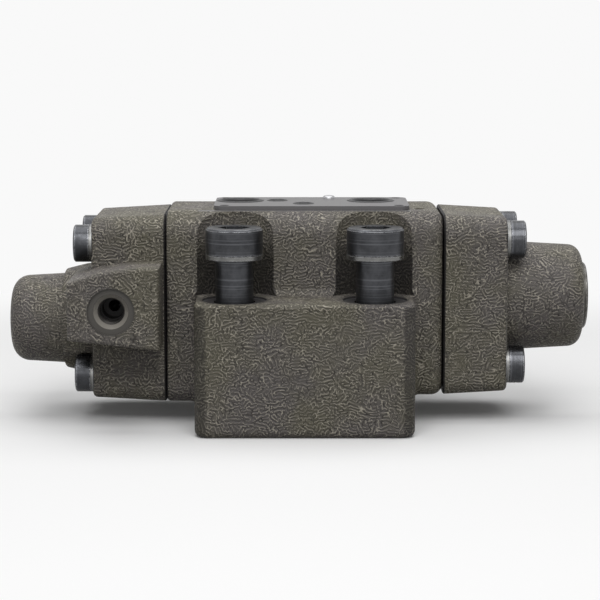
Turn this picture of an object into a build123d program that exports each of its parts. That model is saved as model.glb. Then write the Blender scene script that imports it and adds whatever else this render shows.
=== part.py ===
"""Main stage of a pilot operated hydraulic directional valve, in millimetres.

X runs along the spool, Z is up, and the origin is the centre of the foot's underside.
The spool rests at its -X end. Pilot oil in the -X cap pushes it to +X against the spring.
"""

import os

from build123d import *

os.makedirs("parts", exist_ok=True)

# Clearances and small gaps shared by everything that fits together
spool_clearance = 0.02
piston_clearance = 0.03
thread_clearance = 0.05
seat_gap = 0.02
screw_hole_clearance = 0.75
washer_clearance = 0.25

# Spool and its bore
spool_radius = 11.0
spool_neck_radius = 7.0
spool_axis_z = 52.0
spool_stroke = 8.0
spool_left_inset = 2.3
spool_right_inset = 3.3
spool_end_chamfer = 1.0
chamber_pitch = 17.0
chamber_width = 10.0
chamber_radius = 15.5
land_overlap = 1.5
notch_radius = 1.5
notch_count = 4

# Foot with the base ports
foot_length = 92.0
foot_depth = 120.0
foot_height = 56.0
foot_corner_radius = 5.5
foot_bottom_radius = 3.0
foot_top_radius = 1.5
root_radius = 3.3
root_ledge_share = 0.25
base_port_radius = 4.8
base_seal_outer_radius = 7.7
base_seal_section = 0.9

# Cast body above the foot
body_half_length = 59.3
body_depth = 60.0
body_bottom_left_z = 9.4
body_bottom_right_z = 12.2
body_top_z = 91.4
body_top_radius = 10.0
body_bottom_radius = 6.0
body_left_shoulder = 2.0
body_right_shoulder = 5.0

# Machined pad on the top that carries the pilot stage
pad_top_z = 93.2
pad_left_x = -39.0
pad_right_x = 45.0
pad_front_y = -20.0
pad_rear_y = 21.0
pad_corner_radius = 4.0
top_port_spacing = 57.2
top_port_centre_x = 0.4
top_port_y = 5.0
top_port_radius = 6.0
top_seal_outer_radius = 10.4
top_seal_section = 1.3
top_seal_proud = 0.5
pilot_passages = ((-12.0, 6.0), (-0.5, -8.0))
pilot_passage_radius = 2.6
pilot_passage_depth = 26.0
pilot_seal_outer_radius = 4.7
pilot_seal_section = 0.8
pilot_seal_proud = 0.35
pad_screw_spacing_x = 75.0
pad_screw_spacing_y = 34.0
pad_screw_radius = 2.1
pad_screw_depth = 8.0
pad_pin_x = 10.8
pad_pin_y = 15.5
pad_pin_radius = 2.8
pad_pin_length = 9.0
pad_pin_proud = 1.3
orifice_length = 5.0
orifice_radius = 0.8
orifice_depth = 2.2
orifice_slot_width = 0.8
orifice_slot_depth = 1.2
bleed_hole_x = 49.5
bleed_hole_y = -13.0
bleed_hole_radius = 2.3
bleed_hole_depth = 9.0

# Socket head screws that fasten the valve to its subplate
mount_spacing_x = 59.0
mount_spacing_y = 85.6
mount_screw_radius = 8.0
mount_screw_length = 75.5
mount_head_radius = 12.0
mount_head_height = 11.0
mount_hex_width = 12.0
mount_hex_depth = 5.5
mount_washer_height = 2.2
mount_spot_radius = 13.6
mount_spot_depth = 0.8
niche_radius = 20.6

# Cap screws, the same on both ends
cap_screw_radius = 5.0
cap_screw_length = 45.0
cap_screw_spacing_y = 40.0
cap_head_radius = 8.0
cap_head_height = 6.4
cap_hex_width = 7.0
cap_hex_depth = 3.2
cap_washer_height = 1.8
cap_spot_radius = 9.0
cap_spot_depth = 0.5
cap_hole_clearance = 0.5
tapped_hole_spare = 4.0
cap_draft_degrees = 3.2
cap_edge_radius = 2.0
seam_chamfer = 0.6
cap_top_radius = 9.0
cap_bottom_radius = 6.0

# Pilot cap on the -X end
pilot_cap_thickness = 31.7
pilot_cap_bottom_z = 9.4
pilot_cap_top_z = 90.0
pilot_cap_screw_z = 49.0
pilot_cap_screw_spacing_z = 56.5
nose_axis_z = 42.0
collar_radius = 24.0
collar_brow_radius = 21.6
collar_length = 13.8
collar_cone_length = 9.6
collar_round = 6.0
collar_brow_round = 1.4
nose_root_radius = 19.7
nose_tip_radius = 18.4
nose_length = 23.2
nose_round = 7.5

# Port boss on the front of the pilot cap
boss_left_offset = 39.5
boss_knee_offset = 19.7
boss_right_offset = 1.1
boss_front_y = -54.0
boss_top_left_z = 64.2
boss_top_knee_z = 69.6
boss_top_right_z = 70.4
boss_bottom_left_z = 40.2
boss_bottom_right_z = 35.8
boss_round = 1.5
port_offset = 21.3
port_z = 52.3
port_spot_radius = 9.8
port_spot_depth = 1.2
port_mouth_radius = 7.4
port_mouth_depth = 2.0
port_thread_radius = 5.72
port_thread_depth = 13.0
port_bore_radius = 4.7
port_bore_depth = 20.0
port_passage_radius = 2.5

# Pilot piston in the pilot cap
piston_radius = 13.0
piston_length = 9.0
piston_chamber_length = 26.7
piston_stop_radius = 4.0
piston_stop_length = 7.6
piston_nose_radius = 8.0
piston_seal_width = 2.6
piston_seal_depth = 1.7

# Spring cap on the +X end
spring_cap_thickness = 27.5
spring_cap_bottom_z = 12.4
spring_cap_top_z = 90.0
spring_cap_screw_z = 51.8
spring_cap_screw_spacing_z = 54.4
barrel_root_radius = 24.0
barrel_tip_radius = 22.1
barrel_length = 34.1
barrel_round = 5.7
spring_chamber_radius = 15.5
spring_chamber_length = 44.7

# Return spring, the seat that rides on the spool and the stop that ends its stroke
spring_wire_radius = 1.5
spring_coil_radius = 10.8
spring_turns = 6.5
seat_standoff = 0.6
seat_flange_radius = 14.6
seat_flange_height = 3.0
seat_nose_radius = 8.0
stop_flange_radius = 15.2
stop_flange_height = 3.0
stop_stem_radius = 6.0
stop_clearance = 0.1

# Screw plug in the end of the spring cap
plug_thread_radius = 11.0
plug_thread_length = 14.0
plug_head_radius = 14.5
plug_head_height = 2.0
plug_head_chamfer = 0.6
plug_hex_width = 12.0
plug_hex_depth = 7.0
plug_seal_section = 0.9

# Seals between the caps and the body
cap_seal_radius = 18.6
cap_seal_section = 1.0

# Screw plug that closes the cross drilling at the back of the foot
gallery_z = 22.0
gallery_bore_radius = 2.5
gallery_plug_radius = 6.5
gallery_plug_length = 9.0
gallery_plug_sink = 0.4
gallery_hex_width = 6.0
gallery_hex_depth = 4.0

# Places and lengths that follow from the sizes above
spool_left_x = spool_left_inset - body_half_length
spool_right_x = body_half_length - spool_right_inset
pilot_cap_end_x = -body_half_length - pilot_cap_thickness
collar_end_x = pilot_cap_end_x - collar_length
collar_cone_x = collar_end_x + collar_cone_length
nose_end_x = collar_end_x - nose_length
boss_left_x = -body_half_length - boss_left_offset
boss_knee_x = -body_half_length - boss_knee_offset
boss_right_x = -body_half_length - boss_right_offset
port_x = -body_half_length - port_offset
piston_chamber_end_x = -body_half_length - piston_chamber_length
spring_cap_end_x = body_half_length + spring_cap_thickness
barrel_end_x = spring_cap_end_x + barrel_length
spring_chamber_end_x = body_half_length + spring_chamber_length
ledge_root_radius = min(root_radius, root_ledge_share * (body_half_length - foot_length / 2))
chamber_places = [chamber_pitch * step for step in (-2, -1, 0, 1, 2)]
base_ports = [(x, 0) for x in chamber_places]
top_ports = [(top_port_centre_x + side * top_port_spacing / 2, top_port_y) for side in (-1, 1)]
pad_centre_x = (pad_left_x + pad_right_x) / 2
pad_centre_y = (pad_front_y + pad_rear_y) / 2
mount_grid = GridLocations(mount_spacing_x, mount_spacing_y, 2, 2)
top_seal_recess = 2 * top_seal_section - top_seal_proud
pilot_seal_recess = 2 * pilot_seal_section - pilot_seal_proud
mount_head_z = mount_screw_length
mount_washer_z = mount_head_z - mount_washer_height
pilot_seat_x = pilot_cap_end_x + cap_spot_depth
spring_seat_x = spring_cap_end_x - cap_spot_depth
piston_left_x = piston_chamber_end_x + seat_gap + piston_stop_length
piston_right_x = piston_left_x + piston_length
piston_groove_x = piston_left_x + (piston_length - piston_seal_width) / 2
seat_left_x = body_half_length + seat_standoff
seat_right_x = seat_left_x + seat_flange_height
stop_face_x = spring_chamber_end_x - stop_flange_height
stop_stem_end_x = seat_right_x + spool_stroke + stop_clearance
gallery_plane = Plane(origin=(chamber_pitch, foot_depth / 2, gallery_z), x_dir=(1, 0, 0), z_dir=(0, -1, 0))
gallery_length = foot_depth / 2
cap_seal_groove = 2 * (cap_seal_section + seat_gap)
cap_seal_depth = 2 * (cap_seal_section + seat_gap)
plug_seal_depth = 2 * (plug_seal_section + seat_gap)
plug_seal_outer_radius = plug_thread_radius + plug_seal_depth
port_points = (
    (port_x, boss_front_y),
    (port_x + port_spot_radius, boss_front_y),
    (port_x + port_spot_radius, boss_front_y + port_spot_depth),
    (port_x + port_mouth_radius, boss_front_y + port_spot_depth),
    (port_x + port_thread_radius, boss_front_y + port_mouth_depth + port_spot_depth),
    (port_x + port_thread_radius, boss_front_y + port_thread_depth),
    (port_x + port_bore_radius, boss_front_y + port_thread_depth),
    (port_x + port_bore_radius, boss_front_y + port_bore_depth),
    (port_x + port_passage_radius, boss_front_y + port_bore_depth),
    (port_x + port_passage_radius, -piston_stop_radius),
    (port_x, -piston_stop_radius),
)


def across_spool(x, side=1, z=0.0):
    """Plane square to the spool at x and height z, facing the end that side names."""
    return Plane(origin=(x, 0, z), x_dir=(0, side, 0), z_dir=(side, 0, 0))


def block_section(bottom, top, top_radius, bottom_radius):
    """Rounded outline that the body and the caps share, seen along the spool."""
    with BuildSketch() as section:
        with Locations((0, (bottom + top) / 2)):
            Rectangle(body_depth, top - bottom)
        fillet(section.vertices().group_by(Axis.Y)[-1], top_radius)
        fillet(section.vertices().group_by(Axis.Y)[0], bottom_radius)
    return section.sketch


def turned_profile(points, rounds=()):
    """Half section of a turned piece as (x, radius) points, with some corners rounded."""
    with BuildSketch() as profile:
        with BuildLine():
            Polyline(*points, close=True)
        make_face()
        for corner, radius in rounds:
            fillet(profile.vertices().sort_by_distance(Vector(*corner))[0], radius)
    return profile.sketch


def turned(points, axis_z, rounds=()):
    """Turned piece about an axis along X at height axis_z, from its half section."""
    with BuildPart() as piece:
        with BuildSketch(Plane(origin=(0, 0, axis_z), x_dir=(1, 0, 0), z_dir=(0, -1, 0))):
            add(turned_profile(points, rounds))
        revolve(axis=Axis((0, 0, axis_z), (1, 0, 0)))
    return piece.part


def seal_ring(outer_radius, section):
    """O-ring that lies on the XY plane, centred on the origin."""
    with BuildPart() as ring:
        with BuildSketch(Plane.XZ):
            with Locations((outer_radius - section, section)):
                Circle(section)
        revolve(axis=Axis.Z)
    return ring.part


def socket_screw(radius, length, head_radius, head_height, hex_width, hex_depth):
    """Low head socket screw, the underside of its head on XY and its shank below."""
    with BuildPart() as screw:
        with BuildSketch():
            Circle(head_radius)
        extrude(amount=head_height)
        rim = screw.edges().filter_by(GeomType.CIRCLE).sort_by(Axis.Z)[-1]
        chamfer(rim, head_radius * 0.07)
        with BuildSketch():
            Circle(radius)
        extrude(amount=-length)
        tip = screw.edges().filter_by(GeomType.CIRCLE).sort_by(Axis.Z)[0]
        chamfer(tip, radius * 0.12)
        with BuildSketch(Plane.XY.offset(head_height)):
            RegularPolygon(hex_width / 2, 6, major_radius=False)
        extrude(amount=-hex_depth, mode=Mode.SUBTRACT)
    return screw.part


def lock_washer(screw_radius, outer_radius, height):
    """Flat lock washer that stands on the XY plane, with its outer edges broken."""
    with BuildPart() as washer:
        with BuildSketch():
            Circle(outer_radius)
        extrude(amount=height)
        chamfer(washer.edges().filter_by(GeomType.CIRCLE), height * 0.14)
        with BuildSketch():
            Circle(screw_radius + washer_clearance)
        extrude(amount=height, mode=Mode.SUBTRACT)
    return washer.part


def cap_screw_places(x, side, centre_z, spacing_z):
    """The four screw places of one cap, as locations whose z points out of the cap."""
    with Locations(across_spool(x, side, centre_z)):
        return GridLocations(cap_screw_spacing_y, spacing_z, 2, 2).locations


def save(builder, name):
    """Label a finished piece and write it under the same name."""
    builder.part.label = name
    export_step(builder.part, f"parts/{name}.step")


pilot_screws = cap_screw_places(pilot_seat_x, -1, pilot_cap_screw_z, pilot_cap_screw_spacing_z)
spring_screws = cap_screw_places(spring_seat_x, 1, spring_cap_screw_z, spring_cap_screw_spacing_z)

# Foot of the casting, a block with rounded corners
with BuildPart() as foot:
    with BuildSketch():
        RectangleRounded(foot_length, foot_depth, foot_corner_radius)
    extrude(amount=foot_height)
    fillet(foot.faces().sort_by(Axis.Z)[0].edges(), foot_bottom_radius)

# Cast body with the foot, the machined faces and every bore
with BuildPart() as valve_body:
    with BuildSketch(across_spool(0, -1)):
        add(block_section(body_bottom_left_z, body_top_z, body_top_radius, body_bottom_radius))
    extrude(amount=body_half_length)
    with BuildSketch(across_spool(0)):
        add(block_section(body_bottom_right_z, body_top_z, body_top_radius, body_bottom_radius))
    extrude(amount=body_half_length)
    left_end = valve_body.faces().sort_by(Axis.X)[0]
    fillet(left_end.edges().sort_by(Axis.Z)[-1], body_left_shoulder)
    right_end = valve_body.faces().sort_by(Axis.X)[-1]
    fillet(right_end.edges().sort_by(Axis.Z)[-1], body_right_shoulder)
    add(foot.part)
    # Soft roots between body and foot, no wider than their share of the body's overhang,
    # then the round along the top of the foot
    at_front_and_back = [edge for edge in valve_body.edges().filter_by(Axis.X)
                         if abs(abs(edge.center().Y) - body_depth / 2) < seat_gap
                         and abs(edge.center().Z - foot_height) < seat_gap]
    at_foot_sides = [edge for edge in valve_body.edges().filter_by(Axis.Z)
                     if abs(abs(edge.center().X) - foot_length / 2) < seat_gap
                     and abs(abs(edge.center().Y) - body_depth / 2) < seat_gap]
    fillet(at_front_and_back + at_foot_sides, ledge_root_radius)
    foot_rim = [edge for edge in valve_body.edges()
                if abs(edge.center().Z - foot_height) < seat_gap
                and abs(edge.center().Y) > body_depth / 2 + ledge_root_radius + seat_gap]
    fillet(foot_rim, foot_top_radius)
    # Machined pad
    with BuildSketch(Plane.XY.offset(body_top_z - body_top_radius)):
        with Locations((pad_centre_x, pad_centre_y)):
            RectangleRounded(pad_right_x - pad_left_x, pad_rear_y - pad_front_y, pad_corner_radius)
    extrude(amount=pad_top_z - body_top_z + body_top_radius)
    # Upright niches beside the screw heads, each with a spot face and a screw hole
    with BuildSketch(Plane.XY.offset(foot_height)):
        with mount_grid:
            Circle(niche_radius)
    extrude(amount=body_top_z - foot_height, mode=Mode.SUBTRACT)
    with BuildSketch(Plane.XY.offset(foot_height)):
        with mount_grid:
            Circle(mount_spot_radius)
    extrude(amount=-mount_spot_depth, mode=Mode.SUBTRACT)
    with BuildSketch():
        with mount_grid:
            Circle(mount_screw_radius + screw_hole_clearance)
    extrude(amount=foot_height, mode=Mode.SUBTRACT)
    # Spool bore and the ring chambers that its lands open and close
    with BuildSketch(across_spool(-body_half_length, 1, spool_axis_z)):
        Circle(spool_radius + spool_clearance)
    extrude(amount=2 * body_half_length, mode=Mode.SUBTRACT)
    for chamber_x in chamber_places:
        with BuildSketch(across_spool(chamber_x - chamber_width / 2, 1, spool_axis_z)):
            Circle(chamber_radius)
        extrude(amount=chamber_width, mode=Mode.SUBTRACT)
    # Base ports, one under each chamber, with their seal recesses
    with BuildSketch():
        with Locations(*base_ports):
            Circle(base_port_radius)
    extrude(amount=spool_axis_z - spool_radius, mode=Mode.SUBTRACT)
    with BuildSketch():
        with Locations(*base_ports):
            Circle(base_seal_outer_radius + seat_gap)
    extrude(amount=2 * base_seal_section, mode=Mode.SUBTRACT)
    # Cross drilling from the back of the foot into a base port, with its plug seat
    with BuildSketch(gallery_plane):
        Circle(gallery_bore_radius)
    extrude(amount=gallery_length, mode=Mode.SUBTRACT)
    with BuildSketch(gallery_plane):
        Circle(gallery_plug_radius + thread_clearance)
    extrude(amount=gallery_plug_length + gallery_plug_sink, mode=Mode.SUBTRACT)
    # Ports, pilot passages and tapped holes in the pad
    with BuildSketch(Plane.XY.offset(pad_top_z)):
        with Locations(*top_ports):
            Circle(top_port_radius)
    extrude(amount=spool_axis_z + spool_radius - pad_top_z, mode=Mode.SUBTRACT)
    with BuildSketch(Plane.XY.offset(pad_top_z)):
        with Locations(*top_ports):
            Circle(top_seal_outer_radius + seat_gap)
    extrude(amount=-top_seal_recess, mode=Mode.SUBTRACT)
    with BuildSketch(Plane.XY.offset(pad_top_z)):
        with Locations(*pilot_passages):
            Circle(pilot_passage_radius)
    extrude(amount=-pilot_passage_depth, mode=Mode.SUBTRACT)
    with BuildSketch(Plane.XY.offset(pad_top_z)):
        with Locations(*pilot_passages):
            Circle(pilot_seal_outer_radius + seat_gap)
    extrude(amount=-pilot_seal_recess, mode=Mode.SUBTRACT)
    with BuildSketch(Plane.XY.offset(pad_top_z)):
        with Locations((pad_centre_x, pad_centre_y)):
            with GridLocations(pad_screw_spacing_x, pad_screw_spacing_y, 2, 2):
                Circle(pad_screw_radius)
    extrude(amount=-pad_screw_depth, mode=Mode.SUBTRACT)
    with BuildSketch(Plane.XY.offset(pad_top_z)):
        with Locations((pad_pin_x, pad_pin_y)):
            Circle(pad_pin_radius + seat_gap)
    extrude(amount=pad_pin_proud - pad_pin_length, mode=Mode.SUBTRACT)
    with BuildSketch(Plane.XY.offset(body_top_z)):
        with Locations((bleed_hole_x, bleed_hole_y)):
            Circle(bleed_hole_radius)
    extrude(amount=-bleed_hole_depth, mode=Mode.SUBTRACT)
    # Tapped holes for the cap screws
    for place in pilot_screws + spring_screws:
        with BuildSketch(Plane(place)):
            Circle(cap_screw_radius + thread_clearance)
        extrude(amount=-(cap_screw_length + tapped_hole_spare), mode=Mode.SUBTRACT)
save(valve_body, "valve_body")

# Pilot cap: drafted block, round collar and nose, and the port boss on its front
collar_points = (
    (-body_half_length, 0),
    (-body_half_length, collar_radius),
    (collar_cone_x, collar_radius),
    (collar_end_x, collar_brow_radius),
    (collar_end_x, nose_root_radius),
    (nose_end_x, nose_tip_radius),
    (nose_end_x, 0),
)
collar_rounds = (
    ((collar_cone_x, collar_radius), collar_round),
    ((collar_end_x, collar_brow_radius), collar_brow_round),
    ((nose_end_x, nose_tip_radius), nose_round),
)
with BuildPart() as pilot_end_cap:
    with BuildSketch(across_spool(-body_half_length, -1)):
        add(block_section(pilot_cap_bottom_z, pilot_cap_top_z, cap_top_radius, cap_bottom_radius))
    extrude(amount=-pilot_cap_end_x - body_half_length, taper=cap_draft_degrees)
    fillet(pilot_end_cap.faces().sort_by(Axis.X)[0].edges(), cap_edge_radius)
    chamfer(pilot_end_cap.faces().sort_by(Axis.X)[-1].edges(), seam_chamfer)
    add(turned(collar_points, nose_axis_z, collar_rounds))
    with BuildSketch(Plane.XZ.offset(-boss_front_y)):
        with BuildLine():
            boss_top = ThreePointArc((boss_left_x, boss_top_left_z), (boss_knee_x, boss_top_knee_z),
                                     (boss_right_x, boss_top_right_z))
            Polyline(boss_top @ 0, (boss_left_x, boss_bottom_left_z),
                     (boss_right_x, boss_bottom_right_z), boss_top @ 1)
        make_face()
    extrude(amount=boss_front_y)
    boss_face = pilot_end_cap.faces().sort_by(Axis.Y)[0]
    fillet(boss_face.edges(), boss_round)
    # Flat seats for the screw heads, which also notch the collar
    for place in pilot_screws:
        with BuildSketch(Plane(place)):
            Circle(cap_spot_radius)
        extrude(amount=pilot_seat_x - nose_end_x, mode=Mode.SUBTRACT)
        with BuildSketch(Plane(place)):
            Circle(cap_screw_radius + cap_hole_clearance)
        extrude(amount=pilot_seat_x + body_half_length, mode=Mode.SUBTRACT)
    # Piston chamber and the groove of the seal against the body
    with BuildSketch(across_spool(-body_half_length, -1, spool_axis_z)):
        Circle(piston_radius)
    extrude(amount=-piston_chamber_end_x - body_half_length, mode=Mode.SUBTRACT)
    with BuildSketch(across_spool(-body_half_length, -1, spool_axis_z)):
        Circle(cap_seal_radius + cap_seal_groove / 2)
        Circle(cap_seal_radius - cap_seal_groove / 2, mode=Mode.SUBTRACT)
    extrude(amount=cap_seal_depth, mode=Mode.SUBTRACT)
    # Threaded port, turned about an axis along Y
    with BuildSketch(Plane.XY.offset(port_z)):
        with BuildLine():
            Polyline(*port_points, close=True)
        make_face()
    revolve(axis=Axis((port_x, 0, port_z), (0, 1, 0)), mode=Mode.SUBTRACT)
save(pilot_end_cap, "pilot_end_cap")

# Spring cap: drafted block with a round barrel that holds the spring
barrel_points = (
    (body_half_length, 0),
    (body_half_length, barrel_root_radius),
    (spring_cap_end_x, barrel_root_radius),
    (barrel_end_x, barrel_tip_radius),
    (barrel_end_x, 0),
)
barrel_rounds = (((barrel_end_x, barrel_tip_radius), barrel_round),)
chamber_points = (
    (body_half_length, 0),
    (body_half_length, spring_chamber_radius),
    (spring_chamber_end_x, spring_chamber_radius),
    (spring_chamber_end_x, plug_thread_radius + thread_clearance),
    (barrel_end_x - plug_seal_depth, plug_thread_radius + thread_clearance),
    (barrel_end_x - plug_seal_depth, plug_seal_outer_radius + seat_gap),
    (barrel_end_x, plug_seal_outer_radius + seat_gap),
    (barrel_end_x, 0),
)
with BuildPart() as spring_end_cap:
    with BuildSketch(across_spool(body_half_length)):
        add(block_section(spring_cap_bottom_z, spring_cap_top_z, cap_top_radius, cap_bottom_radius))
    extrude(amount=spring_cap_end_x - body_half_length, taper=cap_draft_degrees)
    fillet(spring_end_cap.faces().sort_by(Axis.X)[-1].edges(), cap_edge_radius)
    chamfer(spring_end_cap.faces().sort_by(Axis.X)[0].edges(), seam_chamfer)
    add(turned(barrel_points, spool_axis_z, barrel_rounds))
    for place in spring_screws:
        with BuildSketch(Plane(place)):
            Circle(cap_spot_radius)
        extrude(amount=barrel_end_x - spring_seat_x, mode=Mode.SUBTRACT)
        with BuildSketch(Plane(place)):
            Circle(cap_screw_radius + cap_hole_clearance)
        extrude(amount=body_half_length - spring_seat_x, mode=Mode.SUBTRACT)
    add(turned(chamber_points, spool_axis_z), mode=Mode.SUBTRACT)
    with BuildSketch(across_spool(body_half_length, 1, spool_axis_z)):
        Circle(cap_seal_radius + cap_seal_groove / 2)
        Circle(cap_seal_radius - cap_seal_groove / 2, mode=Mode.SUBTRACT)
    extrude(amount=cap_seal_depth, mode=Mode.SUBTRACT)
save(spring_end_cap, "spring_end_cap")

# Spool: lands that close the ring chambers, necks between them and metering notches
land_edges = (
    -2 * chamber_pitch - chamber_width / 2 + land_overlap,
    -chamber_pitch - chamber_width / 2 - land_overlap,
    -chamber_pitch + chamber_width / 2 + land_overlap,
    chamber_pitch - chamber_width / 2 - land_overlap,
    chamber_pitch + chamber_width / 2 + land_overlap,
    2 * chamber_pitch + chamber_width / 2 - land_overlap,
)
with BuildPart() as main_spool:
    with BuildSketch(across_spool(spool_left_x, 1, spool_axis_z)):
        Circle(spool_radius)
    extrude(amount=spool_right_x - spool_left_x)
    chamfer(main_spool.edges().filter_by(GeomType.CIRCLE), spool_end_chamfer)
    for neck_start, neck_end in zip(land_edges[::2], land_edges[1::2]):
        with BuildSketch(across_spool(neck_start, 1, spool_axis_z)):
            Circle(spool_radius + spool_clearance)
            Circle(spool_neck_radius, mode=Mode.SUBTRACT)
        extrude(amount=neck_end - neck_start, mode=Mode.SUBTRACT)
    for edge_x in land_edges:
        with Locations(across_spool(edge_x, 1, spool_axis_z)):
            with PolarLocations(spool_radius, notch_count):
                Sphere(notch_radius, mode=Mode.SUBTRACT)
save(main_spool, "main_spool")

# Pilot piston: a stop at its back, a seal groove and a nose that meets the spool
piston_points = (
    (piston_left_x - piston_stop_length, 0),
    (piston_left_x - piston_stop_length, piston_stop_radius),
    (piston_left_x, piston_stop_radius),
    (piston_left_x, piston_radius - piston_clearance),
    (piston_groove_x, piston_radius - piston_clearance),
    (piston_groove_x, piston_radius - piston_seal_depth),
    (piston_groove_x + piston_seal_width, piston_radius - piston_seal_depth),
    (piston_groove_x + piston_seal_width, piston_radius - piston_clearance),
    (piston_right_x, piston_radius - piston_clearance),
    (piston_right_x, piston_nose_radius),
    (spool_left_x, piston_nose_radius),
    (spool_left_x, 0),
)
with BuildPart() as pilot_piston:
    add(turned(piston_points, spool_axis_z))
save(pilot_piston, "pilot_piston")

# Split seal ring in the piston's groove
ring_points = (
    (piston_groove_x + seat_gap, piston_radius - piston_seal_depth + seat_gap),
    (piston_groove_x + seat_gap, piston_radius - piston_clearance / 2),
    (piston_groove_x + piston_seal_width - seat_gap, piston_radius - piston_clearance / 2),
    (piston_groove_x + piston_seal_width - seat_gap, piston_radius - piston_seal_depth + seat_gap),
)
with BuildPart() as piston_seal:
    add(turned(ring_points, spool_axis_z))
save(piston_seal, "piston_seal")

# Spring seat that rides on the spool's right end
seat_points = (
    (spool_right_x, 0),
    (spool_right_x, seat_nose_radius),
    (seat_left_x, seat_nose_radius),
    (seat_left_x, seat_flange_radius),
    (seat_right_x, seat_flange_radius),
    (seat_right_x, 0),
)
with BuildPart() as spring_seat:
    add(turned(seat_points, spool_axis_z))
save(spring_seat, "spring_seat")

# Stroke stop at the far end of the spring chamber, whose stem ends the stroke
stop_points = (
    (stop_stem_end_x, 0),
    (stop_stem_end_x, stop_stem_radius),
    (stop_face_x, stop_stem_radius),
    (stop_face_x, stop_flange_radius),
    (spring_chamber_end_x - seat_gap, stop_flange_radius),
    (spring_chamber_end_x - seat_gap, 0),
)
with BuildPart() as stroke_stop:
    add(turned(stop_points, spool_axis_z))
save(stroke_stop, "stroke_stop")

# Return spring between the two seats, its end coils ground flat
spring_start_x = seat_right_x + seat_gap
spring_end_x = stop_face_x - seat_gap
spring_length = spring_end_x - spring_start_x
with BuildPart() as return_spring:
    with BuildLine() as coil:
        Helix(spring_length / spring_turns, spring_length, spring_coil_radius,
              center=(spring_start_x, 0, spool_axis_z), direction=(1, 0, 0))
    with BuildSketch(Plane(coil.line @ 0, z_dir=coil.line % 0)):
        Circle(spring_wire_radius)
    sweep(is_frenet=True)
    with BuildSketch(across_spool(spring_start_x, 1, spool_axis_z)):
        Circle(spring_coil_radius + 2 * spring_wire_radius)
    extrude(amount=spring_length, mode=Mode.INTERSECT)
save(return_spring, "return_spring")

# Screw plug at the end of the barrel, with its seal and a hexagon socket
plug_points = (
    (barrel_end_x - plug_thread_length, 0),
    (barrel_end_x - plug_thread_length, plug_thread_radius),
    (barrel_end_x, plug_thread_radius),
    (barrel_end_x, plug_head_radius),
    (barrel_end_x + plug_head_height - plug_head_chamfer, plug_head_radius),
    (barrel_end_x + plug_head_height, plug_head_radius - plug_head_chamfer),
    (barrel_end_x + plug_head_height, 0),
)
with BuildPart() as spring_end_plug:
    add(turned(plug_points, spool_axis_z))
    with BuildSketch(across_spool(barrel_end_x + plug_head_height, 1, spool_axis_z)):
        RegularPolygon(plug_hex_width / 2, 6, major_radius=False)
    extrude(amount=-plug_hex_depth, mode=Mode.SUBTRACT)
save(spring_end_plug, "spring_end_plug")

with BuildPart() as end_plug_seal:
    with Locations(across_spool(barrel_end_x - plug_seal_depth + seat_gap, 1, spool_axis_z)):
        add(seal_ring(plug_seal_outer_radius, plug_seal_section))
save(end_plug_seal, "end_plug_seal")

# Seals between each cap and the body
with BuildPart() as pilot_cap_seal:
    with Locations(across_spool(-body_half_length - seat_gap, -1, spool_axis_z)):
        add(seal_ring(cap_seal_radius + cap_seal_section, cap_seal_section))
save(pilot_cap_seal, "pilot_cap_seal")

with BuildPart() as spring_cap_seal:
    with Locations(across_spool(body_half_length + seat_gap, 1, spool_axis_z)):
        add(seal_ring(cap_seal_radius + cap_seal_section, cap_seal_section))
save(spring_cap_seal, "spring_cap_seal")

# Cap screws and their lock washers, four of each on either end
cap_screw = socket_screw(cap_screw_radius, cap_screw_length, cap_head_radius,
                         cap_head_height, cap_hex_width, cap_hex_depth)
cap_washer = lock_washer(cap_screw_radius, cap_head_radius, cap_washer_height)
for end_name, places in (("pilot_cap", pilot_screws), ("spring_cap", spring_screws)):
    with BuildPart() as washers:
        with Locations(*places):
            add(cap_washer)
    save(washers, f"{end_name}_lock_washers")
    with BuildPart() as screws:
        with Locations(*[place * Pos(0, 0, cap_washer_height) for place in places]):
            add(cap_screw)
    save(screws, f"{end_name}_screws")

# Mounting screws and washers, the screw tips level with the underside of the foot
with BuildPart() as mounting_lock_washers:
    with Locations(*[Pos(0, 0, mount_washer_z) * place for place in mount_grid.locations]):
        add(lock_washer(mount_screw_radius, mount_head_radius, mount_washer_height))
save(mounting_lock_washers, "mounting_lock_washers")

with BuildPart() as mounting_screws:
    with Locations(*[Pos(0, 0, mount_head_z) * place for place in mount_grid.locations]):
        add(socket_screw(mount_screw_radius, mount_screw_length, mount_head_radius,
                         mount_head_height, mount_hex_width, mount_hex_depth))
save(mounting_screws, "mounting_screws")

# Seals on the pad and in the foot
with BuildPart() as top_port_seals:
    with Locations(*[(x, y, pad_top_z - top_seal_recess) for x, y in top_ports]):
        add(seal_ring(top_seal_outer_radius, top_seal_section))
save(top_port_seals, "top_port_seals")

with BuildPart() as pilot_port_seals:
    with Locations(*[(x, y, pad_top_z - pilot_seal_recess) for x, y in pilot_passages]):
        add(seal_ring(pilot_seal_outer_radius, pilot_seal_section))
save(pilot_port_seals, "pilot_port_seals")

with BuildPart() as base_port_seals:
    with Locations(*base_ports):
        add(seal_ring(base_seal_outer_radius, base_seal_section))
save(base_port_seals, "base_port_seals")

# Screwed orifice in the front pilot passage, with a slot across its top
orifice_top_z = pad_top_z - orifice_depth
with BuildPart() as pilot_orifice:
    with BuildSketch(Plane.XY.offset(orifice_top_z)):
        with Locations(pilot_passages[-1]):
            Circle(pilot_passage_radius - thread_clearance)
            Circle(orifice_radius, mode=Mode.SUBTRACT)
    extrude(amount=-orifice_length)
    with BuildSketch(Plane.XY.offset(orifice_top_z)):
        with Locations(pilot_passages[-1]):
            Rectangle(2 * pilot_passage_radius, orifice_slot_width)
    extrude(amount=-orifice_slot_depth, mode=Mode.SUBTRACT)
save(pilot_orifice, "pilot_orifice")

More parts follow.
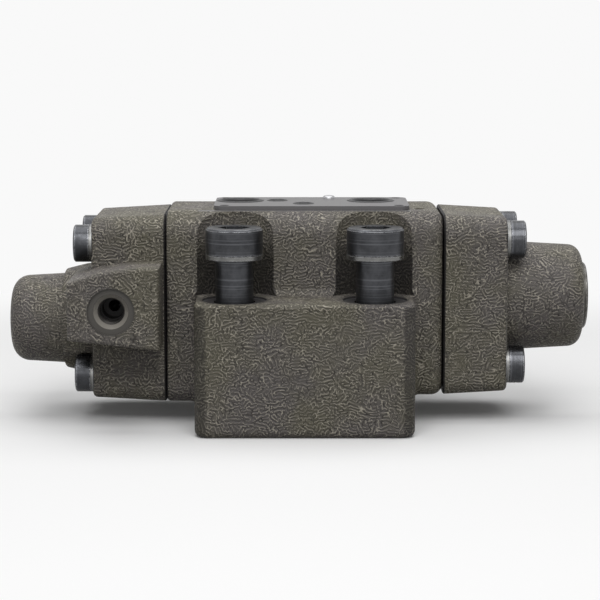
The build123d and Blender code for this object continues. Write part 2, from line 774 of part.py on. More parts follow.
# Locating pin in the pad, its top rounded
with BuildPart() as pad_locating_pin:
    with BuildSketch(Plane.XY.offset(pad_top_z + pad_pin_proud)):
        with Locations((pad_pin_x, pad_pin_y)):
            Circle(pad_pin_radius)
    extrude(amount=-pad_pin_length)
    fillet(pad_locating_pin.edges().filter_by(GeomType.CIRCLE).sort_by(Axis.Z)[-1], pad_pin_proud)
save(pad_locating_pin, "pad_locating_pin")

# Screw plug of the cross drilling at the back of the foot
plug_place = gallery_plane.offset(gallery_plug_sink)
with BuildPart() as gallery_plug:
    with BuildSketch(plug_place):
        Circle(gallery_plug_radius)
    extrude(amount=gallery_plug_length)
    with BuildSketch(plug_place):
        RegularPolygon(gallery_hex_width / 2, 6, major_radius=False)
    extrude(amount=gallery_hex_depth, mode=Mode.SUBTRACT)
save(gallery_plug, "gallery_plug")
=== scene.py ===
# %% [markdown]
# # A hydraulic valve in a small photo studio
#
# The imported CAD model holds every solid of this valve: the casting, its two end caps, the screws, the
# seals and the spool inside. This lesson leaves those solids where they are. It gives each metal the
# finish of the real one, adds the threads that are too fine for the CAD, and lights the valve softly
# in front of a camera that stands where the photographer stood. Lengths are in metres, so a size in
# millimetres is written as a number times mm.

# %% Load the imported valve
import math

import bmesh
import bpy
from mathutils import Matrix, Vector


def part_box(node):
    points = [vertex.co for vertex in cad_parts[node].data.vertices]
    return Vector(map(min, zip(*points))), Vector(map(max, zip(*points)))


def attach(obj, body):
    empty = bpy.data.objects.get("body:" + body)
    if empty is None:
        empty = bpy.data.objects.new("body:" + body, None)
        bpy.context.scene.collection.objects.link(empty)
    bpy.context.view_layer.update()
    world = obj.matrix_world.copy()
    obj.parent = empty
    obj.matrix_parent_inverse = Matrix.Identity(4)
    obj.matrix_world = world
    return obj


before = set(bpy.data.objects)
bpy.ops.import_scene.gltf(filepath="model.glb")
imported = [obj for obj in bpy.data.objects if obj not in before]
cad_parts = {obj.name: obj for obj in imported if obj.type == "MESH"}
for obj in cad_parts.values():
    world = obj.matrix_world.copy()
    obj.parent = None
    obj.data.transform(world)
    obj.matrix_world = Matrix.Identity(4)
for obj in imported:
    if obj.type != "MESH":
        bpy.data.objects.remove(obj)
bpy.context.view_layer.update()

mm = 0.001
print("CAD nodes:", len(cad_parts))

# %% [markdown]
# ## Helpers for shader nodes
#
# A material is a graph of nodes. Placing a node, setting it and linking it takes three calls each time,
# so one short helper does all of that, and a few more stand for the nodes that are used most. A value
# handed to a helper is either a plain number or the output socket of a node placed before.

# %% Place and link nodes
def feed(tree, socket, value):
    """Gives an input socket its plain value, or the link from another node's output socket."""
    if isinstance(value, bpy.types.NodeSocket):
        tree.links.new(value, socket)
    else:
        socket.default_value = value


def place(tree, kind, inputs=None, **settings):
    """Adds one shader node, with its inputs by name or index and its settings."""
    node = tree.nodes.new("ShaderNode" + kind)
    for name, value in settings.items():
        setattr(node, name, value)
    for name, value in (inputs or {}).items():
        feed(tree, node.inputs[name], value)
    return node


def reckon(tree, operation, *values):
    """The output of one Math node."""
    return place(tree, "Math", dict(enumerate(values)), operation=operation).outputs[0]


def fade(tree, value, start, end, low=0.0, high=1.0):
    """A smooth step from low to high while value goes from start to end."""
    inputs = {"Value": value, "From Min": start, "From Max": end, "To Min": low, "To Max": high}
    return place(tree, "MapRange", inputs, interpolation_type="SMOOTHSTEP").outputs[0]


def blend(tree, factor, first, second):
    """Two colours mixed by a factor. The Mix node keeps its colour inputs at 6 and 7."""
    return place(tree, "Mix", {0: factor, 6: first, 7: second}, data_type="RGBA").outputs[2]


def blend_values(tree, factor, first, second):
    """Two plain values mixed by a factor."""
    return place(tree, "Mix", {0: factor, 2: first, 3: second}, data_type="FLOAT").outputs[0]


def rgb(red, green, blue):
    """A linear colour with full opacity."""
    return (red, green, blue, 1.0)


def shade(colour, factor):
    """The same colour, darker below a factor of 1 and lighter above it."""
    return rgb(*[factor * part for part in colour[:3]])


print("Node helpers are ready")

# %% [markdown]
# ## Shader groups
#
# The cast skin, the turning lines, the blotches of oil and the edges, which are painted paler as wear and
# as painted highlight, come back in several materials. Each is a node group with named inputs and
# outputs, built once and placed with its own values. A group puts out masks and heights only, and the
# shader stays in the material.

# %% Make a node group
def new_group(name, inputs, outputs):
    """An empty shader group with float or vector sockets, and its input and output ends."""
    group = bpy.data.node_groups.new(name, "ShaderNodeTree")
    for socket_name, kind, default in inputs:
        socket = group.interface.new_socket(socket_name, in_out="INPUT", socket_type="NodeSocket" + kind)
        if default is not None:
            socket.default_value = default
    for socket_name in outputs:
        group.interface.new_socket(socket_name, in_out="OUTPUT", socket_type="NodeSocketFloat")
    return group, group.nodes.new("NodeGroupInput").outputs, group.nodes.new("NodeGroupOutput").inputs


def use_group(tree, group, **inputs):
    """Places a group in a material, and returns its outputs."""
    node = tree.nodes.new("ShaderNodeGroup")
    node.node_tree = group
    for name, value in inputs.items():
        feed(tree, node.inputs[name.capitalize()], value)
    return node.outputs


print("Group helpers are ready")

# %% [markdown]
# ### Cast skin
#
# The photo shows a skin like wrinkled leather: thin pale ridges and thin dark creases that wander, fork
# and close into loops, a little over a millimetre apart, on a mid grey ground. Gabor noise gives bands
# in every direction. Its value fades in and out along a band, and the sine of its phase doesn't, so half
# of each makes lines that run on with a little unevenness. Bending the coordinates with a softer noise
# makes them wander. Only the crests and the bottoms of the bands are picked out, so the ground between
# them stays plain.

# %% Group: cast skin
skin_group, skin_in, skin_out = new_group(
    "cast_skin",
    [("Position", "Vector", None), ("Spacing", "Float", 1.3 * mm), ("Wander", "Float", 2.2 * mm)],
    ["Ridges", "Creases", "Height", "Patches"],
)
bend_per_m, grain_per_m, swell_per_m, patches_per_m = 150.0, 1500.0, 90.0, 28.0
bands_per_cell = 3.2
grain_share, swell_share = 0.4, 0.7

place_in = skin_in["Position"]
bend_noise = place(skin_group, "TexNoise", {"Vector": place_in, "Scale": bend_per_m, "Detail": 1.0})
bend_offset = place(skin_group, "VectorMath", {0: bend_noise.outputs["Color"], 1: (0.5, 0.5, 0.5)},
                    operation="SUBTRACT")
bend_scaled = place(skin_group, "VectorMath", {0: bend_offset.outputs[0], "Scale": skin_in["Wander"]},
                    operation="SCALE")
bent = place(skin_group, "VectorMath", {0: place_in, 1: bend_scaled.outputs[0]}, operation="ADD")
cell_scale = reckon(skin_group, "DIVIDE", 1.0 / bands_per_cell, skin_in["Spacing"])
worm_noise = place(skin_group, "TexGabor",
                   {"Vector": bent.outputs[0], "Scale": cell_scale, "Frequency": bands_per_cell,
                    "Anisotropy": 0.0}, gabor_type="3D").outputs
even_bands = reckon(skin_group, "SINE", reckon(skin_group, "MULTIPLY", worm_noise["Phase"], math.tau))
even_bands = reckon(skin_group, "MULTIPLY_ADD", even_bands, 0.5, 0.5)
worms = reckon(skin_group, "MULTIPLY", reckon(skin_group, "ADD", even_bands, worm_noise["Value"]), 0.5)
grain = place(skin_group, "TexNoise", {"Vector": place_in, "Scale": grain_per_m, "Detail": 3.0})
swell = place(skin_group, "TexNoise", {"Vector": place_in, "Scale": swell_per_m, "Detail": 2.0})
patches = place(skin_group, "TexNoise", {"Vector": place_in, "Scale": patches_per_m, "Detail": 4.0,
                                         "Roughness": 0.6})
broken = fade(skin_group, swell.outputs[0], 0.3, 0.5, 0.7, 1.0)
height = reckon(skin_group, "MULTIPLY_ADD", grain.outputs[0], grain_share, worms)
skin_masks = {
    "Ridges": reckon(skin_group, "MULTIPLY", fade(skin_group, worms, 0.60, 0.78), broken),
    "Creases": reckon(skin_group, "MULTIPLY", fade(skin_group, worms, 0.41, 0.25), broken),
    "Height": reckon(skin_group, "MULTIPLY_ADD", swell.outputs[0], swell_share, height),
    "Patches": fade(skin_group, patches.outputs[0], 0.35, 0.65),
}
for mask_name, mask in skin_masks.items():
    skin_group.links.new(mask, skin_out[mask_name])
print("Cast skin outputs:", [socket.name for socket in skin_out if socket.name])

# %% [markdown]
# ### Turning lines
#
# A lathe leaves fine grooves round the axis. One-dimensional noise makes such lines from any coordinate
# that is put into it: the one along the axis gives rings round a shank or a head.

# %% Group: turning lines
lines_group, lines_in, lines_out = new_group(
    "turning_lines", [("Across", "Float", 0.0), ("Pitch", "Float", 0.12 * mm)], ["Height"]
)
line_place = reckon(lines_group, "DIVIDE", lines_in["Across"], lines_in["Pitch"])
line_noise = place(lines_group, "TexNoise", {"W": line_place, "Scale": 1.0, "Detail": 2.0},
                   noise_dimensions="1D")
lines_group.links.new(line_noise.outputs[0], lines_out["Height"])
print("Turning lines take a coordinate and a pitch")

# %% [markdown]
# ### Oil blotches, and edges for wear and painted highlight
#
# Oil and handling leave soft blotches, here noise with five levels of detail. Edges, which are painted
# paler both as wear and as painted highlight, are found with the Bevel node: where the rounded normal
# leaves the flat one, there is an edge, on loose triangles too.

# %% Groups: blotches and edges
blotch_group, blotch_in, blotch_out = new_group(
    "oil_blotches", [("Position", "Vector", None), ("Size", "Float", 6 * mm)], ["Blotches"]
)
blotch_scale = reckon(blotch_group, "DIVIDE", 1.0, blotch_in["Size"])
blotch_noise = place(blotch_group, "TexNoise", {"Vector": blotch_in["Position"], "Scale": blotch_scale,
                                                "Detail": 5.0, "Roughness": 0.65})
blotch_group.links.new(fade(blotch_group, blotch_noise.outputs[0], 0.3, 0.7), blotch_out["Blotches"])

edge_group, edge_in, edge_out = new_group(
    "edges_for_wear_and_highlight", [("Position", "Vector", None), ("Radius", "Float", 0.5 * mm)], ["Edges"]
)
rounded = place(edge_group, "Bevel", {"Radius": edge_in["Radius"]}, samples=4)
flat = place(edge_group, "NewGeometry")
agreement = place(edge_group, "VectorMath", {0: rounded.outputs[0], 1: flat.outputs["Normal"]},
                  operation="DOT_PRODUCT")
chips = place(edge_group, "TexNoise", {"Vector": edge_in["Position"], "Scale": 900.0, "Detail": 2.0})
edge_mask = fade(edge_group, agreement.outputs["Value"], 0.995, 0.9)
edge_mask = reckon(edge_group, "MULTIPLY", edge_mask, fade(edge_group, chips.outputs[0], 0.3, 0.6))
edge_group.links.new(edge_mask, edge_out["Edges"])
print("Blotches and edges are ready")

# %% [markdown]
# ## Start of a material
#
# Every finish starts the same way: a Principled shader, the object's own coordinates, and these split
# into X, Y and Z for masks. A CAD node's object sits at the origin, so its Object coordinates are the
# valve's own, in metres, and a machined face can be found by its place.

# %% Start a material
def start_material(name, metallic, roughness, specular=0.5):
    """A material with its tree, its shader, the Object coordinates, and these split by axis."""
    material = bpy.data.materials.new(name)
    material.use_nodes = True
    tree = material.node_tree
    shader = tree.nodes["Principled BSDF"]
    shader.inputs["Metallic"].default_value = metallic
    shader.inputs["Roughness"].default_value = roughness
    shader.inputs["Specular IOR Level"].default_value = specular
    position = place(tree, "TexCoord").outputs["Object"]
    axes = place(tree, "SeparateXYZ", {0: position}).outputs
    return material, tree, shader, position, axes


def bump(tree, shader, height, distance):
    """Lets a height stand out from the surface by a distance in metres."""
    node = place(tree, "Bump", {"Height": height, "Distance": distance, "Strength": 1.0})
    tree.links.new(node.outputs[0], shader.inputs["Normal"])


def radius_about(tree, first, second):
    """The distance from an axis, from the two offsets across it."""
    second_square = reckon(tree, "MULTIPLY", second, second)
    return reckon(tree, "SQRT", reckon(tree, "MULTIPLY_ADD", first, first, second_square))


def offset_from(tree, value, centre):
    """How far a value lies past a centre."""
    return reckon(tree, "SUBTRACT", value, centre)


def unsigned(tree, value):
    """The value without its sign, so that a mask made from it holds on both sides of the middle."""
    return reckon(tree, "ABSOLUTE", value)


def either(tree, *masks):
    """The strongest of several masks."""
    found = masks[0]
    for mask in masks[1:]:
        found = reckon(tree, "MAXIMUM", found, mask)
    return found


def both(tree, *masks):
    """All masks multiplied."""
    found = masks[0]
    for mask in masks[1:]:
        found = reckon(tree, "MULTIPLY", found, mask)
    return found


def above(tree, value, limit):
    """1 where value is more than the limit."""
    return reckon(tree, "GREATER_THAN", value, limit)


def below(tree, value, limit):
    """1 where value is less than the limit."""
    return reckon(tree, "LESS_THAN", value, limit)


def near(tree, value, centre, reach):
    """1 where value is within reach of centre."""
    return below(tree, unsigned(tree, offset_from(tree, value, centre)), reach)


print("Material helpers are ready")

# %% [markdown]
# ## Cast iron
#
# The body and both caps share one skin: pale ridges and dark creases on a ground that leans to olive in
# some patches and to purple grey in others. The pale of the ridges is partly painted highlight and the
# dark of the creases partly painted shade. Each casting also has machined faces, and a mask that is
# worked out from their place swaps the skin for smooth metal with fine cutter marks. Dirt and painted
# shade are placed in the same way: dirt in the joints between body and caps, oil and painted shade round
# the screws, painted shade in the niches and at the foot's upright corners, oil on the port's spot face
# and painted shade down the threaded port.

# %% Cast iron finish
olive_ground = rgb(0.104, 0.096, 0.071)
purple_ground = rgb(0.099, 0.090, 0.086)
# The ridges' pale colour is partly the skin's own tone and partly painted highlight; the creases' dark colour
# is partly painted shade.
ridge_tone_and_highlight = rgb(0.44, 0.405, 0.335)
crease_tone_and_shade = rgb(0.016, 0.014, 0.012)
# One near-black colour serves both real dirt and painted shade.
dirt_and_shade_colour = rgb(0.010, 0.009, 0.009)
ground_roughness, ridge_roughness, machined_roughness = 0.62, 0.42, 0.46
skin_depth = 0.40 * mm
marks_share = 0.02


def cast_iron(name, machined_mask, machined_colour):
    """Cast skin, with smooth metal where machined_mask, a function of the tree and axes, gives 1."""
    material, tree, shader, position, axes = start_material(name, metallic=0.05, roughness=0.5, specular=0.3)
    skin = use_group(tree, skin_group, position=position)
    ground = blend(tree, skin["Patches"], purple_ground, olive_ground)
    # Ridges are painted paler, partly as painted highlight, and creases darker, partly as painted shade.
    ridged = blend(tree, skin["Ridges"], ground, ridge_tone_and_highlight)
    creased = blend(tree, skin["Creases"], ridged, crease_tone_and_shade)
    machined = machined_mask(tree, axes)
    colour = blend(tree, machined, creased, machined_colour)
    # Dirt in the joints and on the port's spot face, and painted shade in the niches, at the foot's corners,
    # round the screws and down the port.
    dirt_and_shade = either(tree, *[mask(tree, axes) for mask in dirt_and_shade_masks])
    tree.links.new(blend(tree, dirt_and_shade, colour, dirt_and_shade_colour), shader.inputs["Base Color"])
    skin_roughness = fade(tree, skin["Ridges"], 0.0, 1.0, ground_roughness, ridge_roughness)
    roughness = blend_values(tree, machined, skin_roughness, machined_roughness)
    tree.links.new(roughness, shader.inputs["Roughness"])
    marks = use_group(tree, lines_group, across=reckon(tree, "ADD", axes["X"], axes["Z"]))
    cutter_marks = both(tree, marks["Height"], machined)
    skin_height = both(tree, skin["Height"], reckon(tree, "SUBTRACT", 1.0, machined))
    height = reckon(tree, "MULTIPLY_ADD", cutter_marks, marks_share, skin_height)
    bump(tree, shader, height, skin_depth)
    return material


print("Cast iron has a skin depth of", skin_depth / mm, "mm")

# %% Where the castings are dirty or painted with shade
seam_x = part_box("pilot_end_cap")[1].x
foot_top = 56 * mm
port_x, port_z, port_thread_y = -80.6 * mm, 52.3 * mm, -50.8 * mm
port_spot_radius, port_chamfer_radius = 9.9 * mm, 7.3 * mm


def from_mounting_screw(tree, axes):
    """The distance from the axis of the nearest of the four mounting screws."""
    screw_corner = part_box("mounting_screws")[1]
    head_radius = 12 * mm
    across_x = offset_from(tree, unsigned(tree, axes["X"]), screw_corner.x - head_radius)
    across_y = offset_from(tree, unsigned(tree, axes["Y"]), screw_corner.y - head_radius)
    return radius_about(tree, across_x, across_y)


def from_pilot_port(tree, axes):
    """The distance from the axis of the threaded port on the pilot cap."""
    return radius_about(tree, offset_from(tree, axes["X"], port_x), offset_from(tree, axes["Z"], port_z))


def seam_dirt(tree, axes):
    """The dark joint between the body and each cap, which stands at seam_x on the left."""
    from_seam = unsigned(tree, offset_from(tree, unsigned(tree, axes["X"]), -seam_x))
    return fade(tree, from_seam, 1.0 * mm, 0.5 * mm)


def screw_seat_oil_and_shade(tree, axes):
    """Oil and painted shade on the top of the foot round each mounting screw, fading out past the seat."""
    dark_radius, plain_radius, reach, darkness = 11 * mm, 17 * mm, 1.6 * mm, 0.8
    # Painted shade with some oil: the foot's top is darkened round each screw, where the head and washer
    # shade it.
    oil_and_shade = fade(tree, from_mounting_screw(tree, axes), dark_radius, plain_radius, darkness, 0.0)
    return both(tree, oil_and_shade, near(tree, axes["Z"], foot_top, reach))


def niche_shade(tree, axes):
    """Painted shade on the walls of the four niches, below the height of the screw heads that shade them."""
    reach, unshaded_z, shaded_z, darkness = 20.8 * mm, 82 * mm, 70 * mm, 0.70
    # Painted shade: the niche walls darken below the screw heads.
    on_wall = below(tree, from_mounting_screw(tree, axes), reach)
    up_wall = both(tree, fade(tree, axes["Z"], unshaded_z, shaded_z), above(tree, axes["Z"], foot_top + 0.2 * mm))
    return both(tree, on_wall, up_wall, darkness)


def corner_shade(tree, axes):
    """Painted shade on the rounded upright corners of the foot, which turn away from the lamps."""
    foot_half, foot_corner, darkness = 46 * mm, 5.5 * mm, 0.55
    unshaded_y, dark_y = 31 * mm, 36 * mm
    from_middle = unsigned(tree, axes["X"])
    # Painted shade: the rounded upright corners of the foot are darkened.
    beside = fade(tree, from_middle, foot_half - foot_corner, foot_half - 0.75 * foot_corner)
    in_front = fade(tree, unsigned(tree, axes["Y"]), unshaded_y, dark_y)
    on_foot = both(tree, below(tree, axes["Z"], foot_top - 1 * mm),
                   below(tree, from_middle, foot_half + 0.5 * mm))
    return both(tree, beside, in_front, on_foot, darkness)


def port_oil_and_shade(tree, axes):
    """Old oil on the flat ring of the port's spot face, and painted shade down its thread, but not on the
    chamfer.
    """
    from_axis = from_pilot_port(tree, axes)
    dark_depth, inner_y = 1.5 * mm, -45 * mm
    ring_darkness, bore_darkness = 0.72, 0.97
    in_ring = both(tree, below(tree, from_axis, port_spot_radius + 0.1 * mm),
                   above(tree, from_axis, port_chamfer_radius), below(tree, axes["Y"], inner_y))
    # Painted shade: the bore is darkened from just inside the thread's mouth inwards.
    in_bore = both(tree, below(tree, from_axis, port_chamfer_radius),
                   fade(tree, axes["Y"], port_thread_y, port_thread_y + dark_depth),
                   below(tree, axes["Y"], 0.0))
    return either(tree, both(tree, in_ring, ring_darkness), both(tree, in_bore, bore_darkness))


# Masks for dirt and for painted shade, darkened in every casting alike.
dirt_and_shade_masks = (seam_dirt, screw_seat_oil_and_shade, corner_shade, niche_shade, port_oil_and_shade)
print("Kinds of dirt:", len(dirt_and_shade_masks))

# %% Where the castings are machined
thin = 0.1 * mm
seat_reach = 0.06 * mm


def body_machined(tree, axes):
    """The pad, the underside, the spot faces, the end faces and the bores inside."""
    low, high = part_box("valve_body")
    pad_rise = 1.7 * mm
    spot_z, spot_reach, spot_radius = 55.6 * mm, 0.5 * mm, 13.65 * mm
    core_half_length, core_half_depth = 45.5 * mm, 22 * mm
    core = both(tree,
                below(tree, unsigned(tree, axes["X"]), core_half_length),
                below(tree, unsigned(tree, axes["Y"]), core_half_depth),
                below(tree, axes["Z"], high.z - pad_rise - thin))
    spots = both(tree, near(tree, axes["Z"], spot_z, spot_reach),
                 below(tree, from_mounting_screw(tree, axes), spot_radius))
    return either(tree,
                  above(tree, axes["Z"], high.z - pad_rise),
                  below(tree, axes["Z"], low.z + thin),
                  above(tree, unsigned(tree, axes["X"]), high.x - thin),
                  spots,
                  core)


def pilot_cap_machined(tree, axes):
    """The mating face, the screw seats and the threaded port."""
    seat_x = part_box("pilot_cap_lock_washers")[1].x
    return either(tree,
                  above(tree, axes["X"], seam_x - thin),
                  near(tree, axes["X"], seat_x, seat_reach),
                  both(tree, below(tree, from_pilot_port(tree, axes), port_spot_radius),
                       below(tree, axes["Y"], 0.0)))


def spring_cap_machined(tree, axes):
    """The mating face and the screw seats."""
    seat_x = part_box("spring_cap_lock_washers")[0].x
    return either(tree,
                  below(tree, axes["X"], thin - seam_x),
                  near(tree, axes["X"], seat_x, seat_reach))


pad_metal = rgb(0.135, 0.131, 0.133)
port_metal = rgb(0.24, 0.225, 0.20)
seat_metal = rgb(0.13, 0.125, 0.12)
castings = {
    "valve_body": cast_iron("cast_iron_body", body_machined, pad_metal),
    "pilot_end_cap": cast_iron("cast_iron_pilot_cap", pilot_cap_machined, port_metal),
    "spring_end_cap": cast_iron("cast_iron_spring_cap", spring_cap_machined, seat_metal),
}
print("Castings:", sorted(castings))

# %% [markdown]
# ## Blackened screws and washers
#
# The screws are steel with a black oxide skin that shines softly, with fine grooves and a few wider,
# paler rings from turning. Their heads reflect the lamps as bands. Oil blotches break the shine, and
# edges show brighter steel, partly as wear and partly as a painted highlight along the rims.

# %% Dark steel finishes
def dark_steel(name, colour, worn_and_highlight_colour, roughness, across):
    """Oxidised steel. across, a function of the tree and axes, gives the way across the turning lines."""
    material, tree, shader, position, axes = start_material(name, metallic=0.9, roughness=roughness)
    marks = use_group(tree, lines_group, across=across(tree, axes))
    blotches = use_group(tree, blotch_group, position=position)
    edges = use_group(tree, edge_group, position=position)
    rings = use_group(tree, lines_group, across=across(tree, axes), pitch=0.9 * mm)
    skin = blend(tree, blotches["Blotches"], colour, shade(colour, 0.6))
    skin = blend(tree, fade(tree, rings["Height"], 0.5, 0.8), skin, shade(colour, 1.5))
    # Edges take a pale colour that is partly wear and partly painted highlight along the rims.
    tree.links.new(blend(tree, edges["Edges"], skin, worn_and_highlight_colour), shader.inputs["Base Color"])
    tree.links.new(fade(tree, blotches["Blotches"], 0.0, 1.0, roughness - 0.06, roughness + 0.1),
                   shader.inputs["Roughness"])
    bump(tree, shader, marks["Height"], 0.015 * mm)
    return material


def along_z(tree, axes):
    """Turning lines stacked along Z, for what stands upright."""
    return axes["Z"]


def along_x(tree, axes):
    """Turning lines stacked along X, for what lies level."""
    return axes["X"]


screw_colour = rgb(0.066, 0.068, 0.074)
# The pale edge colours are partly worn steel and partly painted highlight.
worn_and_highlight_screw_colour = rgb(0.34, 0.345, 0.36)
washer_colour = rgb(0.19, 0.19, 0.185)
plug_colour = rgb(0.080, 0.077, 0.070)
worn_and_highlight_plug_colour = rgb(0.35, 0.34, 0.32)
upright_screw_steel = dark_steel("oxide_steel_upright", screw_colour, worn_and_highlight_screw_colour, 0.36, along_z)
level_screw_steel = dark_steel("oxide_steel_level", screw_colour, worn_and_highlight_screw_colour, 0.27, along_x)
upright_washer_steel = dark_steel("washer_steel_upright", washer_colour, worn_and_highlight_screw_colour, 0.32, along_z)
level_washer_steel = dark_steel("washer_steel_level", washer_colour, worn_and_highlight_screw_colour, 0.32, along_x)
plug_steel = dark_steel("plug_steel", plug_colour, worn_and_highlight_plug_colour, 0.42, along_x)
print("Dark steels:", [m.name for m in bpy.data.materials if "steel" in m.name])

# %% [markdown]
# ## Ground steel, spring steel, brass and rubber
#
# The parts inside are ground or turned bright, the spring is oiled wire, the orifice is brass and the
# seals are matt nitrile rubber. They are seen in other views, so each gets its own small graph.

# %% Bright metals and rubber
def bright_metal(name, colour, roughness, across):
    """Turned or ground metal with fine lines and a little oil."""
    material, tree, shader, position, axes = start_material(name, metallic=1.0, roughness=roughness)
    marks = use_group(tree, lines_group, across=across(tree, axes), pitch=0.08 * mm)
    blotches = use_group(tree, blotch_group, position=position)
    oiled = blend(tree, blotches["Blotches"], colour, shade(colour, 0.72))
    tree.links.new(oiled, shader.inputs["Base Color"])
    tree.links.new(fade(tree, marks["Height"], 0.3, 0.7, roughness - 0.05, roughness + 0.08),
                   shader.inputs["Roughness"])
    bump(tree, shader, marks["Height"], 0.006 * mm)
    return material


def nitrile_rubber(name):
    """Black rubber with a faint grain and a dusty bloom."""
    material, tree, shader, position, axes = start_material(name, metallic=0.0, roughness=0.55)
    blotches = use_group(tree, blotch_group, position=position, size=2.5 * mm)
    black, bloom = rgb(0.018, 0.018, 0.020), rgb(0.034, 0.033, 0.034)
    tree.links.new(blend(tree, blotches["Blotches"], black, bloom), shader.inputs["Base Color"])
    tree.links.new(fade(tree, blotches["Blotches"], 0.0, 1.0, 0.45, 0.62), shader.inputs["Roughness"])
    grain = place(tree, "TexNoise", {"Vector": position, "Scale": 3500.0, "Detail": 2.0})
    bump(tree, shader, grain.outputs[0], 0.02 * mm)
    return material


ground_steel = bright_metal("ground_steel", rgb(0.52, 0.52, 0.54), 0.24, along_x)
pin_steel = bright_metal("pin_steel", rgb(0.42, 0.42, 0.43), 0.38, along_z)
spring_wire = bright_metal("spring_wire", rgb(0.24, 0.24, 0.26), 0.34, along_x)
orifice_brass = bright_metal("orifice_brass", rgb(0.66, 0.56, 0.36), 0.30, along_z)
seal_rubber = nitrile_rubber("nitrile_rubber")
print("Materials so far:", len(bpy.data.materials))

# %% [markdown]
# ## Hand the finishes to the CAD nodes
#
# A CAD node keeps its mesh and only gets a new material in its slots.

# %% Assign materials
finishes = {
    **castings,
    "mounting_screws": upright_screw_steel,
    "mounting_lock_washers": upright_washer_steel,
    "pilot_cap_screws": level_screw_steel,
    "spring_cap_screws": level_screw_steel,
    "pilot_cap_lock_washers": level_washer_steel,
    "spring_cap_lock_washers": level_washer_steel,
    "gallery_plug": upright_screw_steel,
    "spring_end_plug": plug_steel,
    "main_spool": ground_steel,
    "pilot_piston": ground_steel,
    "spring_seat": ground_steel,
    "stroke_stop": ground_steel,
    "return_spring": spring_wire,
    "pad_locating_pin": pin_steel,
    "pilot_orifice": orifice_brass,
}
for name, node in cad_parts.items():
    node.data.materials.clear()
    node.data.materials.append(finishes.get(name, seal_rubber))
print("Rubber nodes:", sorted(set(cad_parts) - set(finishes)))

# %% [markdown]
# ## Threads
#
# The CAD has its threaded holes as plain cylinders. A thread here is a thin coil with a pointed section
# that lies on the wall of its hole, with its root a little inside the metal. The section is drawn once
# with four corners and spun about the hole's axis while it climbs by the pitch, which bmesh's spin does
# in one call. The pilot port and the four tapped holes of the pad each get one.

# %% Thread coil
def thread_coil(name, mouth, inward, wall_radius, pitch, length, crest, material, body):
    """A coil of thread inside a hole, from its mouth along the direction inward."""
    steps_per_turn = 32
    turns = length / pitch
    inward = Vector(inward).normalized()
    sideways = inward.orthogonal().normalized()
    buried = 0.03 * mm
    half_root, half_tip = 0.46 * pitch, 0.06 * pitch
    section = (
        (wall_radius + buried, -half_root),
        (wall_radius - crest, -half_tip),
        (wall_radius - crest, half_tip),
        (wall_radius + buried, half_root),
    )
    start = Vector(mouth) + inward * (0.5 * pitch)
    coil = bmesh.new()
    corners = [coil.verts.new(start + sideways * radius + inward * along) for radius, along in section]
    face = coil.faces.new(corners)
    steps = round(turns * steps_per_turn)
    bmesh.ops.spin(coil, geom=[face] + list(face.edges) + list(face.verts), cent=start, axis=inward,
                   dvec=inward * (pitch / steps_per_turn), angle=math.tau * turns, steps=steps)
    coil.normal_update()
    bmesh.ops.recalc_face_normals(coil, faces=coil.faces)
    mesh = bpy.data.meshes.new(name)
    coil.to_mesh(mesh)
    coil.free()
    thread = bpy.data.objects.new(name, mesh)
    bpy.context.scene.collection.objects.link(thread)
    mesh.materials.append(material)
    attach(thread, body)
    print(name, "turns:", round(turns, 1), "faces:", len(mesh.polygons))


print("Thread coils are ready to cut")

# %% Cut the pilot port's thread
thread_metal = bright_metal("cut_thread", rgb(0.11, 0.105, 0.10), 0.38, along_x)
port_mouth = (port_x, port_thread_y, port_z)
thread_coil("pilot_port_thread", port_mouth, (0, 1, 0), wall_radius=5.72 * mm, pitch=1.337 * mm,
            length=8.6 * mm, crest=0.5 * mm, material=thread_metal, body="housing")

# %% Cut the threads of the pad's tapped holes
pad_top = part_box("valve_body")[1].z
pad_x, pad_y = 3.0 * mm, 0.5 * mm
half_spacing_x, half_spacing_y = 37.5 * mm, 17 * mm
lead_in = 0.5 * mm
corners = ((-1, -1), (1, -1), (-1, 1), (1, 1))
for index, (side_x, side_y) in enumerate(corners, start=1):
    hole_mouth = (pad_x + side_x * half_spacing_x, pad_y + side_y * half_spacing_y, pad_top - lead_in)
    thread_coil(f"pad_thread_{index}", hole_mouth, (0, 0, -1), wall_radius=2.1 * mm, pitch=0.8 * mm,
                length=5.6 * mm, crest=0.25 * mm, material=thread_metal,
                body="housing")

# %% [markdown]
# ## Floor, lamps and camera
#
# The valve stands on a white sweep without a horizon. A camera ray sees the floor near the valve as a pale
# matt surface that takes its shadow, and further out it fades to one even white, which the world behind
# it shares. Light that bounces off the floor sees a darker colour, so that the undersides stay dark as
# they are in the photo. Is Glossy Ray and Is Transmission Ray are added, so that metal and glass show
# that white too, and the floor keeps the valve's shadow.

# %% Floor
floor_size = 60.0
floor_drop = 0.05 * mm
white_from, white_full = 0.24, 0.42
backdrop_white = 0.947
pure_white = rgb(1.0, 1.0, 1.0)
floor_mesh = bmesh.new()
bmesh.ops.create_grid(floor_mesh, x_segments=1, y_segments=1, size=floor_size / 2)
bmesh.ops.translate(floor_mesh, verts=floor_mesh.verts, vec=(0, 0, -floor_drop))
floor_data = bpy.data.meshes.new("floor")
floor_mesh.to_mesh(floor_data)
floor_mesh.free()
floor = bpy.data.objects.new("floor", floor_data)
bpy.context.scene.collection.objects.link(floor)

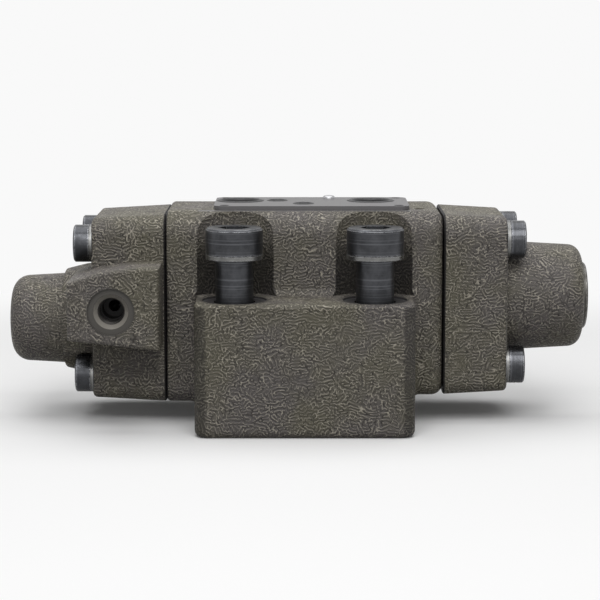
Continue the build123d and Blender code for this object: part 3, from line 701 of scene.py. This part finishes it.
floor_material, floor_tree, floor_shader, _, floor_axes = start_material(
    "studio_floor", metallic=0.0, roughness=0.9, specular=0.0)
floor_shader.inputs["Base Color"].default_value = rgb(0.25, 0.25, 0.25)
pale_shader = place(floor_tree, "BsdfDiffuse", {"Color": rgb(0.86, 0.86, 0.86)})
lift = place(floor_tree, "Emission", {"Color": pure_white, "Strength": 0.03})
lifted = place(floor_tree, "AddShader", {0: pale_shader.outputs[0], 1: lift.outputs[0]})
white = place(floor_tree, "Emission", {"Color": pure_white, "Strength": backdrop_white})
from_valve = radius_about(floor_tree, floor_axes["X"], floor_axes["Y"])
far_away = fade(floor_tree, from_valve, white_from, white_full)
sweep = place(floor_tree, "MixShader", {0: far_away, 1: lifted.outputs[0], 2: white.outputs[0]})
ray = place(floor_tree, "LightPath").outputs
seen = either(floor_tree, ray["Is Camera Ray"], ray["Is Glossy Ray"], ray["Is Transmission Ray"])
shown = place(floor_tree, "MixShader", {0: seen, 1: floor_shader.outputs[0], 2: sweep.outputs[0]})
floor_tree.links.new(shown.outputs[0], floor_tree.nodes["Material Output"].inputs["Surface"])
floor_data.materials.append(floor_material)
print("Floor is", floor_size, "m across")

# %% World and lamps
world = bpy.data.worlds.new("studio_world")
bpy.context.scene.world = world
world.use_nodes = True
world_tree = world.node_tree
world_ray = place(world_tree, "LightPath").outputs
world_seen = either(world_tree, world_ray["Is Camera Ray"], world_ray["Is Glossy Ray"],
                    world_ray["Is Transmission Ray"])
world_fill = 0.10
world_strength = fade(world_tree, world_seen, 0.0, 1.0, world_fill, backdrop_white)
background = world_tree.nodes["Background"]
background.inputs["Color"].default_value = pure_white
world_tree.links.new(world_strength, background.inputs["Strength"])


def soft_lamp(name, place_m, target, width, height, radiance):
    """A rectangular softbox that faces a target. Its radiance is what a mirror would show."""
    lamp = bpy.data.lights.new(name, "AREA")
    lamp.shape = "RECTANGLE"
    lamp.size, lamp.size_y = width, height
    lamp.energy = radiance * math.pi * width * height
    holder = bpy.data.objects.new(name, lamp)
    holder.location = place_m
    holder.rotation_euler = (Vector(target) - Vector(place_m)).to_track_quat("-Z", "Y").to_euler()
    bpy.context.scene.collection.objects.link(holder)
    print(name, "watts:", round(lamp.energy, 1))


centre = Vector((0, 0, 0.045))
soft_lamp("overhead_softbox", (0.0, 0.25, 1.25), centre, 1.5, 1.2, 2.0)
soft_lamp("key_softbox", (0.0, -1.05, 1.15), centre, 1.2, 1.0, 4.0)
soft_lamp("front_fill", (0.0, -1.7, 0.45), centre, 1.2, 0.5, 1.2)

# %% Camera
tilt_down = math.radians(8.2)
camera_data = bpy.data.cameras.new("camera")
camera_data.sensor_width = 36.0
camera_data.lens = 126.0
camera = bpy.data.objects.new("camera", camera_data)
camera.location = (-0.0020, -0.915, 0.1816)
camera.rotation_euler = (math.radians(90) - tilt_down, 0, 0)
bpy.context.scene.collection.objects.link(camera)
bpy.context.scene.camera = camera
bpy.context.scene.view_settings.view_transform = "Standard"
print("Camera at", [round(v, 3) for v in camera.location])
